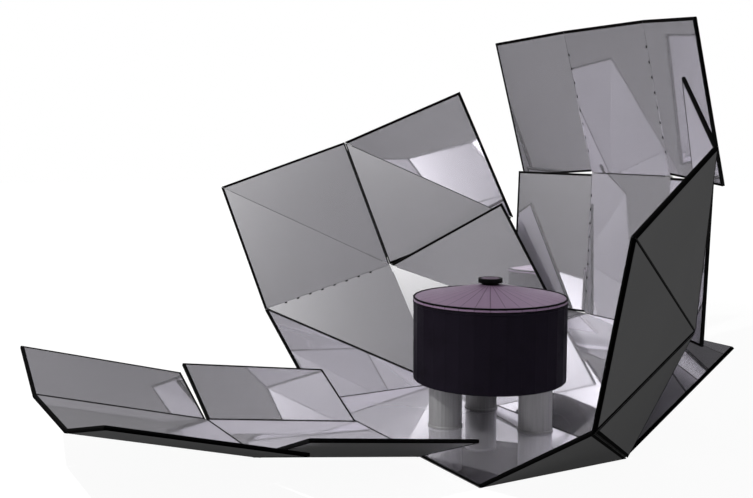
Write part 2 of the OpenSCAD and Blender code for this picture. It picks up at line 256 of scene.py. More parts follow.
# Black vinyl tape: a faint pressed grain and a low sheen
EDGE_TAPE = Finish(
    "edge_tape", grey(0.006), grey(0.014), roughness=0.69, spread=0.12, scale=1400.0,
    relief=0.00005, detail=1.0,
)
# The knob's black moulded plastic
KNOB_PLASTIC = Finish(
    "knob_plastic", grey(0.005), grey(0.01), roughness=0.49, spread=0.12, scale=800.0,
    relief=0.00004,
)
# Plain drawn steel of the hinge pins and the knob's screw
DRAWN_STEEL = Finish(
    "drawn_steel", (0.42, 0.42, 0.43), (0.336, 0.336, 0.344), roughness=0.28, spread=0.15,
    scale=1200.0, gloss=0.5, metallic=0.9,
)
# Black enamel on steel: dark, faintly blue, with a soft orange-peel shine and clouds of soot
POT_ENAMEL = Finish(
    "pot_enamel", (0.0048, 0.0038, 0.0062), (0.0028, 0.0024, 0.0032), roughness=0.5,
    spread=0.05, scale=260.0, relief=0.00006, gloss=0.01,
    cloud=(22.0, 4.0, 0.65, 0.45, 0.75), shares=(0.5, 0.0), haze=0.2,
)
# Tinplate of the cans: grey metal drawn in fine upright streaks
TIN_PLATE = Finish(
    "tin_plate", (0.135, 0.135, 0.133), (0.0945, 0.0945, 0.0931), roughness=0.5, spread=0.2,
    scale=1.0, relief=0.00003, detail=3.0, gloss=0.5, metallic=0.15,
    streaks=(420.0, 420.0, 14.0),
)


@dataclass(frozen=True)
class LidMetal:
    """The lid's dull purple-grey coat, with a darker line along each fold of its fan."""

    colour: Colour = (0.122, 0.083, 0.124)
    line: Colour = (0.02, 0.013, 0.021)
    line_width: float = 0.00055
    folds: int = 32
    phase: float = 0.871
    centre_y: float = 0.061
    roughness: float = 0.5

    def build(self) -> Material:
        """Returns the material; the fold lines come from the angle about the lid's axis."""
        lid = Surface("lid_metal", self.colour, self.roughness, 0.1)
        lid.set("Specular IOR Level", 0.1)
        aside, across = lid.place("X"), lid.place("Y") - self.centre_y
        turn = across.math("ARCTAN2", aside) * (self.folds / math.tau) - self.phase
        radius = (aside * aside + across * across) ** 0.5
        near_line = (turn.math("FRACT") - 0.5).math("ABSOLUTE")
        width = 0.5 - radius**-1.0 * (self.line_width * self.folds / math.tau)
        drawn = near_line.math("GREATER_THAN", width)
        brushed = lid.noise(420.0, 3.0, 0.6)
        coat = lid.mix(brushed * 0.5, self.colour, tuple(c * 0.86 for c in self.colour))
        lid.set("Base Color", lid.mix(drawn * 0.75, coat, self.line))
        lid.set("Roughness", brushed * 0.15 + (self.roughness - 0.07))
        lid.bump(brushed, 0.00004)
        return lid.material


@dataclass
class Finishes:
    """Every finish, built once."""

    film: Material = field(default_factory=MIRROR_FILM.build)
    skin: Material = field(default_factory=OUTER_SKIN.build)
    board: Material = field(default_factory=BLACK_BOARD.build)
    tape: Material = field(default_factory=EDGE_TAPE.build)
    enamel: Material = field(default_factory=POT_ENAMEL.build)
    lid: Material = field(default_factory=LidMetal().build)
    knob: Material = field(default_factory=KNOB_PLASTIC.build)
    tin: Material = field(default_factory=TIN_PLATE.build)
    steel: Material = field(default_factory=DRAWN_STEEL.build)


def add_piece(
    name: str,
    points: Points,
    faces: list[tuple[int, ...]],
    material: Material,
    smooth: np.ndarray | bool = False,
) -> bpy.types.Object:
    """Makes one piece whose place is in its mesh.

    Args:
        name: the piece's name.
        points: an N x 3 array in the row frame.
        faces: the corners of each face, counterclockwise from outside.
        material: its finish.
        smooth: whether each face is shaded smooth.
    Returns:
        The new object, linked to the scene.
    """
    mesh = bpy.data.meshes.new(name)
    mesh.from_pydata(points.tolist(), [], faces)
    flags = np.broadcast_to(np.asarray(smooth, bool), len(faces))
    mesh.polygons.foreach_set("use_smooth", np.ascontiguousarray(flags))
    mesh.materials.append(material)
    mesh.validate()
    mesh.update()
    made = bpy.data.objects.new(name, mesh)
    bpy.context.scene.collection.objects.link(made)
    return made


def ring_faces(rows: int, columns: int) -> list[tuple[int, ...]]:
    """Returns the quads between closed rings of points that are stored ring by ring."""
    r, c = np.meshgrid(np.arange(rows - 1), np.arange(columns), indexing="ij")
    a, b = r * columns + c, r * columns + (c + 1) % columns
    quads = np.stack([a, b, b + columns, a + columns], axis=-1).reshape(-1, 4)
    return [tuple(q) for q in quads.tolist()]


def capped_faces(rows: int, columns: int) -> list[tuple[int, ...]]:
    """Returns the faces of a tube of rings that is closed by a fan at each end.

    The middle points of the two fans follow the rings, the first ring's before the last's.
    """
    low, last = rows * columns, (rows - 1) * columns
    faces = ring_faces(rows, columns)
    faces += [(low, (i + 1) % columns, i) for i in range(columns)]
    faces += [(low + 1, last + i, last + (i + 1) % columns) for i in range(columns)]
    return faces


@dataclass
class Patches:
    """The points and faces of one piece, gathered patch by patch."""

    points: list[Points] = field(default_factory=list)
    faces: list[tuple[int, ...]] = field(default_factory=list)

    def add(self, points: Points, faces: list[tuple[int, ...]]) -> None:
        """Adds a patch, whose faces number its own points from nought."""
        start = sum(len(p) for p in self.points)
        self.points.append(points.reshape(-1, 3))
        self.faces += [tuple(start + i for i in face) for face in faces]

    def make(self, name: str, material: Material) -> bpy.types.Object:
        """Returns the piece that the patches make up."""
        return add_piece(name, np.concatenate(self.points), self.faces, material)


def carried_round(
    profile: Points, turn: Points, centre: tuple[float, float], reach: Points | float = 1.0
) -> Points:
    """Returns a ring of points about an upright axis for each point of a profile.

    Args:
        profile: the radius and height of each ring.
        turn: the angle of each point of a ring.
        centre: the axis's x and y.
        reach: the share of the radius at each angle.
    Returns:
        The points (x, y, z) = (reach r cos t, reach r sin t, z), ring by ring.
    """
    ring = np.stack([reach * np.cos(turn), reach * np.sin(turn)], axis=-1)
    xy = profile[:, None, :1] * ring + np.asarray(centre)
    z = np.broadcast_to(profile[:, None, 1:], (*xy.shape[:2], 1))
    return np.concatenate([xy, z], axis=-1).reshape(-1, 3)


def turned_shape(
    name: str,
    profile: Points,
    sides: int,
    centre: tuple[float, float],
    material: Material,
    smooth: bool = False,
    phase: float = 0.0,
) -> bpy.types.Object:
    """Turns a profile about an upright axis.

    Args:
        name: the piece's name.
        profile: radius and height of each point, from one pole to the other; with the
            solid on the left as it is walked, the faces point outwards.
        sides: the number of flat sides.
        centre: the axis's x and y.
        material: its finish.
        smooth: whether the sides are shaded smooth.
        phase: the turn of the first corner, in sides.
    Returns:
        The new closed piece.
    """
    body = carried_round(profile[1:-1], (np.arange(sides) + phase) * math.tau / sides, centre)
    poles = [[*centre, profile[0, 1]], [*centre, profile[-1, 1]]]
    faces = capped_faces(len(profile) - 2, sides)
    return add_piece(name, np.concatenate([body, poles]), faces, material, smooth)


def arc(
    centre: tuple[float, float], radius: float, start: float, end: float, steps: int
) -> Points:
    """Returns points on a circle's arc, by angle in degrees."""
    t = np.radians(np.linspace(start, end, steps + 1))
    return np.stack([centre[0] + radius * np.cos(t), centre[1] + radius * np.sin(t)], axis=-1)


class Edge(Enum):
    """What one edge of a panel is, with the letter for it in the layout."""

    CREASE = "c"
    SLIT = "s"
    FREE = "f"
    CORNER = "k"


class CreaseLine(Enum):
    """How wide the black line of painted crease shade shows: half of it, in metres, and its dots
    of painted shade.
    """

    FAINT = (0.0, False)
    DOTTED = (0.0002, True)
    HAIR = (0.0013, False)
    THIN = (0.0021, False)
    THICK = (0.0031, False)
    BOLD = (0.0050, False)


# How wide the painted crease shade is on the mirror side, by panel
INNER_LINES = {
    CreaseLine.THICK: ("wing_lower", "gusset_upper", "apron_inner_flap", "apron_outer_flap"),
    CreaseLine.THIN: ("apron_inner", "apron_outer", "back_ramp", "back_lower", "gusset_lower"),
    CreaseLine.HAIR: ("back_upper",),
    CreaseLine.DOTTED: ("side_wall_front", "back_upper_flap", "back_lower_flap"),
}

# How wide the painted crease shade is on the outer side, by panel
OUTER_LINES = {
    CreaseLine.BOLD: ("gusset_upper", "side_wall_front"),
    CreaseLine.THICK: ("gusset_lower", "corner_wall_lower"),
    CreaseLine.HAIR: ("side_wall_rear",),
}

# The sides of a flat strip of painted crease shade with a ridge along it: four low corners, four
# high ones and two ends
STRIP_SIDES = (
    (3, 2, 1, 0), (0, 1, 5, 4), (2, 3, 7, 6), (4, 5, 9, 8), (6, 7, 8, 9),
    (1, 2, 6, 9, 5), (3, 0, 4, 8, 7),
)


@dataclass(frozen=True)
class Panel:
    """One flat board of the sheet, as it lies before folding."""

    name: str
    parent: str | None
    hinge: tuple[Points, ...]
    fold: float
    spare: float
    corners: tuple[Points, ...]
    edges: tuple[Edge, ...]

    @property
    def body(self) -> str:
        """The CAD body that it rides on."""
        return self.name

    def plain_name(self) -> str:
        """Returns its name without its side."""
        return self.name.removesuffix("_left").removesuffix("_right")


def turn_about(point: Points, axis: Points, degrees: float) -> np.ndarray:
    """Returns the 4 x 4 turn about a line, by Rodrigues's formula."""
    x, y, z = axis / np.linalg.norm(axis)
    skew = np.array([[0, -z, y], [z, 0, -x], [-y, x, 0]])
    angle = math.radians(degrees)
    turn = np.eye(3) + math.sin(angle) * skew + (1 - math.cos(angle)) * skew @ skew
    matrix = np.eye(4)
    matrix[:3, :3] = turn
    matrix[:3, 3] = point - turn @ point
    return matrix


def inward(direction: Points) -> Points:
    """Returns the unit normal on the left of a direction in the sheet."""
    return np.array([-direction[1], direction[0]]) / np.linalg.norm(direction)


@dataclass
class FoldedSheet:
    """The creased sheet: its layout, its folds and everything that dresses it."""

    cell: float = 0.25
    column_width: float = 0.188
    flap_width: float = 0.1485
    board: float = 0.004
    ramp_fold: float = 32.8
    gusset_folds: tuple[float, float] = (30.6, 36.7)
    crease_setback: float = 0.0025
    slit_cut: float = 0.0025
    corner_cut: float = 0.006
    tip_cut: float = 0.022
    hinge_end: float = 0.016
    knuckles: int = 9
    film: float = 0.00025
    film_inset: float = 0.0006
    film_rings: int = 10
    film_bond: float = 0.00003
    rim_drop: float = 0.00008
    rim_rings: tuple[float, float] = (0.0006, 0.00012)
    rim_steps: int = 14
    crease_gap: float = 0.00025
    sink: float = 0.00005
    tape: float = 0.00035
    tape_width: float = 0.0038
    tape_gap: float = 0.0002
    free_bulge: float = 0.0009
    end_bulge: float = 0.0004
    slit_bulge: float = 0.0021
    slit_tape: float = 0.003
    tight_bulge: float = -0.0008
    tight_panels: tuple[str, ...] = ("back_lower_flap", "back_upper_flap")
    # The black strips of painted crease shade: the least width worth laying, and the heights of
    # their edges and ridge
    least_strip: float = 0.0004
    strip_heights: tuple[float, float] = (0.00008, 0.00015)
    # The black dots of painted knuckle-gap shade: radius, rise, offset from the crease, and how
    # much longer they are along it
    shade_dot_radius: float = 0.0014
    shade_dot_rise: float = 0.0003
    shade_dot_offset: float = 0.002
    shade_dot_length: float = 1.9
    panels: dict[str, Panel] = field(default_factory=dict)
    matrices: dict[str, np.ndarray] = field(default_factory=dict)

    def __post_init__(self) -> None:
        """Lays out the panels and folds them."""
        self._lay_out()
        for panel in self.panels.values():
            self.matrices[panel.name] = self._matrix(panel)

    def _matrix(self, panel: Panel) -> np.ndarray:
        """Returns a panel's place after folding."""
        if panel.parent is None:
            return np.eye(4)
        start, end = (np.array([*p, self.board / 2]) for p in panel.hinge)
        return self.matrices[panel.parent] @ turn_about(start, end - start, panel.fold)

    def _add(
        self,
        name: str,
        parent: str | None,
        hinge: tuple,
        fold: float,
        corners: tuple,
        edges: str,
        spare: float = 0.0,
        paired: bool = False,
    ) -> None:
        """Adds one panel, or a right-hand panel and its mirror image on the left.

        Args:
            name: its name, without its side.
            parent: the panel that it folds on.
            hinge: two points of its crease.
            fold: its fold in degrees.
            corners: its corners, counterclockwise, with the letter of each edge in edges.
            spare: how far it can fold beyond its fold.
            paired: whether it has a mirror image.
        """
        chosen = [Edge(letter) for letter in edges]
        points = [np.array(p, float) for p in corners]
        line = [np.array(p, float) for p in hinge]
        for side in ("_right", "_left") if paired else ("",):
            if side == "_left":
                points = [p * (-1, 1) for p in points[::-1]]
                line = [p * (-1, 1) for p in line[::-1]]
                chosen = [*chosen[-2::-1], chosen[-1]]
            mother = parent if parent is None or parent in self.panels else parent + side
            self.panels[name + side] = Panel(
                name + side, mother, tuple(line), fold, spare, tuple(points), tuple(chosen)
            )

    def _lay_out(self) -> None:
        """Lays out every panel of the flat sheet, with its fold in degrees."""
        c, half = self.cell, self.cell / 2
        col, edge = self.column_width / 2, self.column_width / 2 + self.flap_width
        wall, wing = edge + c, edge + 2 * c
        front, apron, outer = -half, -half - c, -half - 2 * c
        back, ramp, lower, top = half, half + c, half + 2 * c, half + 3 * c
        p0, p1, r, s = (edge, front), (edge, back), (wall, front), (wall, back)
        u, v, x1, x2, y2 = (wing, front), (wing, back), (wing, ramp), (wall, ramp), (edge, ramp)
        self._add("floor", None, (), 0, ((-edge, front), p0, p1, (-edge, back)), "cccc")
        for name, mother, reach, near, far, fold, edges, spare in (
            ("apron_inner", "floor", col, apron, front, 8.6, "cccc", 25.0),
            ("apron_outer", "apron_inner", col, outer, apron, 7.0, "fccc", 12.0),
            ("back_ramp", "floor", edge, back, ramp, self.ramp_fold, "cscs", 0.0),
            ("back_lower", "back_ramp", col, ramp, lower, 55.0, "cccc", 0.0),
            ("back_upper", "back_lower", col, lower, top, 18.3, "ccfc", 3.0),
        ):
            hinge = ((1, far), (0, far)) if far <= front else ((0, near), (1, near))
            corners = ((-reach, near), (reach, near), (reach, far), (-reach, far))
            self._add(name, mother, hinge, fold, corners, edges, spare)
        pair = functools.partial(self._add, paired=True)
        for name, mother, near, far, fold, edges in (
            ("apron_inner_flap", "apron_inner", apron, front, 22.3, "sfsc"),
            ("apron_outer_flap", "apron_outer", outer, apron, 15.8, "ffsc"),
            ("back_lower_flap", "back_lower", ramp, lower, 22.4, "sfsc"),
            ("back_upper_flap", "back_upper", lower, top, 15.9, "sffc"),
        ):
            corners = ((col, near), (edge, near), (edge, far), (col, far))
            pair(name, mother, ((col, 1), (col, 0)), fold, corners, edges)
        first, second = self.gusset_folds
        pair("gusset_lower", "floor", (p1, p0), first, (p0, r, p1), "fcc")
        pair("gusset_upper", "gusset_lower", (p1, r), second, (p1, r, s), "ccc")
        pair("side_wall_front", "gusset_upper", (s, r), 11.1, (r, u, s), "fcc")
        pair("side_wall_rear", "side_wall_front", (s, u), 8.6, (u, v, s), "fcc")
        pair("wing_lower", "side_wall_rear", (s, v), 16, (s, v, x2), "ccs")
        pair("wing_upper", "wing_lower", (x2, v), 16, (v, x1, x2), "ffc", 20.0)
        diagonal = math.sqrt(0.5) * self.tip_cut
        tip_mid = (edge + diagonal, ramp - diagonal)
        tip_low, tip_high = (edge, ramp - 2 * diagonal), (edge + 2 * diagonal, ramp)
        fold, corners = self._corner_fold(), (p1, s, tip_mid, tip_low)
        pair("corner_wall_lower", "gusset_upper", (p1, s), fold, corners, "ccfk")
        corners = (s, x2, tip_high, tip_mid)
        pair("corner_wall_upper", "corner_wall_lower", (y2, s), 18.4, corners, "sffc")

    def _corner_fold(self) -> float:
        """Returns the fold that lays the corner wall's lower edge in the ramp's plane."""
        lower, upper = self.gusset_folds
        first = turn_about(np.zeros(3), np.array([0, -1, 0]), lower)[:3, :3]
        diagonal = first @ np.array([1, -1, 0])
        turn = turn_about(np.zeros(3), diagonal, upper)[:3, :3] @ first
        along, across = turn @ np.array([0, 1, 0]), turn @ np.array([1, 0, 0])
        rise = np.cross(across, along)
        slope = math.radians(self.ramp_fold)
        normal = np.array([0, -math.sin(slope), math.cos(slope)])
        return math.degrees(math.atan2(-(along @ normal), rise @ normal))

    def _cut(self, edge: Edge) -> float:
        """Returns how far a board's edge lies inside the sheet's line."""
        cuts = {Edge.CREASE: self.crease_setback, Edge.SLIT: self.slit_cut}
        return self.corner_cut if edge is Edge.CORNER else cuts.get(edge, 0.0)

    def _turning_on(self, panel: Panel, index: int) -> Panel:
        """Returns the panel that turns on one of a panel's creases."""
        start = panel.corners[index]
        end = panel.corners[(index + 1) % len(panel.corners)]
        normal = inward(end - start)
        found = [panel] + [p for p in self.panels.values() if p.parent == panel.name]
        for other in found:
            if other.hinge and all(abs((p - start) @ normal) < 1e-6 for p in other.hinge):
                return other
        raise ValueError(f"no crease on edge {index} of {panel.name}")

    def _line(self, panel: Panel, inner: bool = True) -> CreaseLine:
        """Returns how wide the painted shade along a panel's own crease shows on one side of the
        sheet.
        """
        for line, names in (INNER_LINES if inner else OUTER_LINES).items():
            if panel.plain_name() in names:
                return line
        return CreaseLine.FAINT if inner else CreaseLine.THIN

    def outline(self, panel: Panel, insets: list[float]) -> Points:
        """Returns a panel's corners with each edge moved inwards by its own distance."""
        count = len(panel.corners)
        moved = []
        for i in range(count):
            a, b, c = (panel.corners[(i + k) % count] for k in (-1, 0, 1))
            n1, n2 = inward(b - a), inward(c - b)
            sides = np.array([n1, n2])
            reach = np.array([n1 @ b + insets[i - 1], n2 @ b + insets[i]])
            moved.append(np.linalg.solve(sides, reach))
        return np.array(moved)

    def _film_insets(self, panel: Panel, height: float, inner: bool) -> list[float]:
        """Returns the film's distance inside each edge of the sheet's lines.

        On a crease the two films meet over the knuckles, so each starts where it clears
        the other at the tightest fold: height times the tangent of half the fold.
        """
        insets = []
        for i, edge in enumerate(panel.edges):
            if edge is not Edge.CREASE:
                insets.append(self._cut(edge) + self.film_inset)
                continue
            turning = self._turning_on(panel, i)
            tightest = turning.fold + turning.spare if inner else 0.0
            insets.append(height * math.tan(math.radians(tightest / 2)) + self.crease_gap)
        return insets

    def lift(self, panel: Panel, flat: Points, heights: Points) -> Points:
        """Folds points of the flat sheet, given their heights above its middle plane."""
        rise = np.broadcast_to(heights, flat.shape[:-1])[..., None] + self.board / 2
        points = np.concatenate([flat, rise, np.ones_like(rise)], axis=-1)
        return (points @ self.matrices[panel.name].T)[..., :3]

    def dress(self, finishes: Finishes) -> None:
        """Gives every panel its film, its outer skin and its edge tape, then black strips of
        painted shade beside its creases and dots of painted shade at its hinges' knuckle gaps.
        """
        for panel in self.panels.values():
            self._add_film(panel, finishes.film, True)
            self._add_film(panel, finishes.skin, False)
            self._add_tape(panel, finishes.tape)
            # Black strips of painted crease shade, on the mirror side and on the outer side
            self._add_painted_crease_shade(panel, finishes.tape, True)
            self._add_painted_crease_shade(panel, finishes.tape, False)
            LOG.info("dressed %s", panel.name)
        # Dots of painted shade at the knuckle gaps of the dotted creases
        for panel in self.panels.values():
            self._add_knuckle_gap_shade(panel, finishes.tape)

    def _add_film(self, panel: Panel, material: Material, inner: bool) -> None:
        """Lays a sheet of film on one face of a panel.

        The sheet is a grid of two parameters: u runs round the outline, and v from the
        middle of the top, over a rounded rim, to the middle of the underside, so it is
        closed. The film's top ripples by about a hundredth of a millimetre. Two rings close
        to the rim keep the rim's rounding off the rest.
        """
        top, under = self.board / 2 + self.film, self.board / 2 - self.film_bond
        outline = self.outline(panel, self._film_insets(panel, top, inner))
        middle = outline.mean(axis=0)
        along = np.linspace(0, 1, self.rim_steps, endpoint=False)[:, None]
        ends = np.roll(outline, -1, axis=0)
        rim = np.concatenate([p + (q - p) * along for p, q in zip(outline, ends)])
        spokes = rim - middle
        reach = np.linalg.norm(spokes, axis=-1)[:, None]
        shares = np.linspace(0.1, 1.0, self.film_rings)
        flat = [middle + spokes * share for share in shares]
        heights = [top + self._ripple(ring, share) for ring, share in zip(flat, shares)]
        flat[-1:] = [middle + spokes * (1 - inset / reach) for inset in self.rim_rings]
        flat += [rim, rim, np.array([middle, middle])]
        edge = np.full(len(rim), top - self.rim_drop)
        heights += [heights[-1], edge, np.full(len(rim), under)]
        heights.append(np.array([top + self._ripple(middle[None], 0.0)[0], under]))
        high = np.concatenate(heights)
        points = self.lift(panel, np.concatenate(flat), high if inner else -high)
        rows, columns = len(flat) - 1, len(rim)
        faces = capped_faces(rows, columns)
        if inner:
            faces = [f[::-1] for f in faces]
        round_rows = np.repeat(np.arange(rows - 1) < self.film_rings, columns)
        smooth = np.concatenate([round_rows, np.ones(columns, bool), np.zeros(columns, bool)])
        name = f"{'mirror_film' if inner else 'outer_skin'}_{panel.name}"
        piece = add_piece(name, points, faces, material, smooth)
        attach(piece, panel.body)

    @staticmethod
    def _ripple(points: Points, share: float) -> Points:
        """Returns the film's ripple: three crossing waves that die out at the rim."""
        x, y = points[..., 0], points[..., 1]
        waves = np.sin(31 * x + 17 * y) + np.sin(43 * y - 11 * x + 1.3)
        waves += 0.6 * np.sin(67 * x - 29 * y + 0.4)
        return 0.000006 * waves * (1 - share**4)

    def _free_runs(self, panel: Panel) -> list[list[int]]:
        """Returns the runs of neighbouring edges that aren't creases, as edge numbers."""
        count = len(panel.edges)
        free = [edge is not Edge.CREASE for edge in panel.edges]
        runs = []
        for i in range(count):
            if free[i] and not free[i - 1]:
                run = [i]
                while free[(run[-1] + 1) % count]:
                    run.append((run[-1] + 1) % count)
                runs.append(run)
        return runs

    def _tape_profile(self, bulge: float) -> Points:
        """Returns the tape's section: inward distance and height of each point.

        It is a channel round the board's edge, whose back swells outwards by the bulge
        at half height. Along a slit it is narrower on the faces. With a bulge below zero
        its back lies inside the board's edge.
        """
        high, thick = self.board / 2 + self.film, self.tape
        wide = self.slit_tape if bulge == self.slit_bulge else self.tape_width
        least, core = thick if bulge > 0 else bulge, max(0.0, -bulge) + 0.0001
        back = [(-0.7 * least, 0.95), (-max(least, 0.6 * bulge), 0.5), (-max(least, bulge), 0.0)]
        back += [(d, -share) for d, share in back[-2::-1]]
        edge = [(d, share * high) for d, share in back]
        top = [(wide, high + 0.6 * thick), (wide - 0.0003, high + thick)]
        top.append((core + 0.0001, high + thick))
        bottom = [(d, -h) for d, h in top[::-1]]
        inside = [(wide, -high), (core, -high), (core, high), (wide, high)]
        return np.array(top + edge + bottom + inside)

    def _tape_path(
        self, panel: Panel, board: Points, run: list[int]
    ) -> tuple[Points, Points, list[float]]:
        """Returns the stops of a run of tape, the mitre at each and how far it swells there.

        At either end the tape is cut along the crease. Along a slit it swells to close the
        gap to the next board, less where it comes to a free edge. The back's flaps pass
        within 1.2 mm of each other, so their tape keeps inside the board's edge there.
        """
        count = len(board)
        corners = np.array([board[i % count] for i in [*run, run[-1] + 1]])
        ways = [inward(b - a) for a, b in zip(corners, corners[1:])]
        before, after = board[run[0] - 1] - corners[0], board[(run[-1] + 2) % count] - corners[-1]
        mitres = [(a + b) / (1 + a @ b) for a, b in zip(ways, ways[1:])]
        mitres = [before / (before @ ways[0]), *mitres, after / (after @ ways[-1])]
        slits = [panel.edges[i] is Edge.SLIT for i in run]
        tight = panel.plain_name() in self.tight_panels
        swell, end_swell = (self.tight_bulge,) * 2 if tight else (self.slit_bulge, self.end_bulge)
        bulges = [swell if slits[0] else self.free_bulge]
        bulges += [end_swell if a or b else self.free_bulge for a, b in zip(slits, slits[1:])]
        bulges.append(swell if slits[-1] else self.free_bulge)
        return corners, np.array(mitres), bulges

    def _add_painted_crease_shade(self, panel: Panel, material: Material, inner: bool) -> None:
        """Lays a thin black strip beside each crease: painted shade that stands in for the shade
        in the crease's gap.
        """
        top = self.board / 2 + self.film
        insets, patches = self._film_insets(panel, top, inner), Patches()
        sides = [side if inner else side[::-1] for side in STRIP_SIDES]
        for i, edge in enumerate(panel.edges):
            if edge is not Edge.CREASE:
                continue
            wide = self._line(self._turning_on(panel, i), inner).value[0]
            if wide < insets[i] + self.least_strip:
                continue
            lines = [
                self.outline(panel, [distance if k == i else v for k, v in enumerate(insets)])
                for distance in (insets[i] + 0.0001, wide, (insets[i] + wide) / 2)
            ]
            near, far, ridge = ((line[i], line[(i + 1) % len(line)]) for line in lines)
            flat = np.array([near[0], near[1], far[1], far[0]] * 2 + list(ridge))
            edge_rise, ridge_rise = self.strip_heights
            high = top + np.array([-self.sink] * 4 + [edge_rise] * 4 + [ridge_rise] * 2)
            patches.add(self.lift(panel, flat, high if inner else -high), sides)
        if patches.points:
            name = f"crease_shade_strip_{'inner' if inner else 'outer'}_{panel.name}"
            piece = patches.make(name, material)
            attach(piece, panel.body)

    def _add_tape(self, panel: Panel, material: Material) -> None:
        """Wraps black tape round a panel's free edges.

        The tape is a channel profile carried along the edge: each point of the path is a
        corner of the board, and the profile is mitred there, so an inward distance d lies
        at d times (n1 + n2) / (1 + n1 . n2) from it. At a crease the tape stops where it
        clears the next panel's tape at the tightest fold.
        """
        high = self.board / 2 + self.film + self.tape
        creases = self._film_insets(panel, high, True)
        insets = [
            creases[i] + self.tape_gap if edge is Edge.CREASE else self._cut(edge)
            for i, edge in enumerate(panel.edges)
        ]
        board = self.outline(panel, insets)
        patches = Patches()
        for run in self._free_runs(panel):
            stops, mitres, bulges = self._tape_path(panel, board, run)
            profile = np.stack([self._tape_profile(bulge) for bulge in bulges])
            flat = stops[:, None] + profile[:, :, :1] * mitres[:, None]
            rows, size = profile.shape[:2]
            faces = ring_faces(rows, size)
            faces += [tuple(range(size))[::-1], tuple(range((rows - 1) * size, rows * size))]
            patches.add(self.lift(panel, flat, profile[:, :, 1]), faces)
        if patches.points:
            piece = patches.make(f"edge_tape_{panel.name}", material)
            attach(piece, panel.body)

    def _add_knuckle_gap_shade(self, panel: Panel, material: Material) -> None:
        """Sets a row of small flat black dots beside a dotted crease, one at each knuckle gap:
        painted shade that stands in for the shade in the gaps between the hinge's knuckles.

        Each dot is a low oval cap, longer along the crease, that rises in two slopes to
        its middle. They ride on the panel that the crease's panel folds on.
        """
        if panel.parent is None or not self._line(panel).value[1]:
            return
        mother = self.panels[panel.parent]
        index = next(
            i for i, edge in enumerate(mother.edges)
            if edge is Edge.CREASE and self._turning_on(mother, i) is panel
        )
        start, end = mother.corners[index], mother.corners[(index + 1) % len(mother.corners)]
        length = np.linalg.norm(end - start)
        pitch = (length - 2 * self.hinge_end) / self.knuckles
        distances = self.hinge_end + pitch * np.arange(1, self.knuckles)
        along, across = (end - start) / length, inward(end - start)
        base, rise, sides = self.board / 2 + self.film, self.shade_dot_rise, 12
        turn = np.arange(sides) * math.tau / sides
        ring = np.outer(self.shade_dot_length * np.cos(turn), along) + np.outer(np.sin(turn), across)
        rows = [(1.0, -self.sink), (1.0, 0.4 * rise), (0.6, 0.85 * rise)]
        high = np.concatenate([np.full(sides, h) for _, h in rows] + [[-self.sink, rise]]) + base
        patches = Patches()
        for distance in distances:
            middle = start + along * distance + across * self.shade_dot_offset
            flat = [middle + ring * self.shade_dot_radius * share for share, _ in rows]
            flat = np.concatenate([*flat, [middle, middle]])
            patches.add(self.lift(mother, flat, high), capped_faces(len(rows), sides))
        piece = patches.make(f"knuckle_gap_shade_dots_{panel.name}", material)
        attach(piece, mother.body)


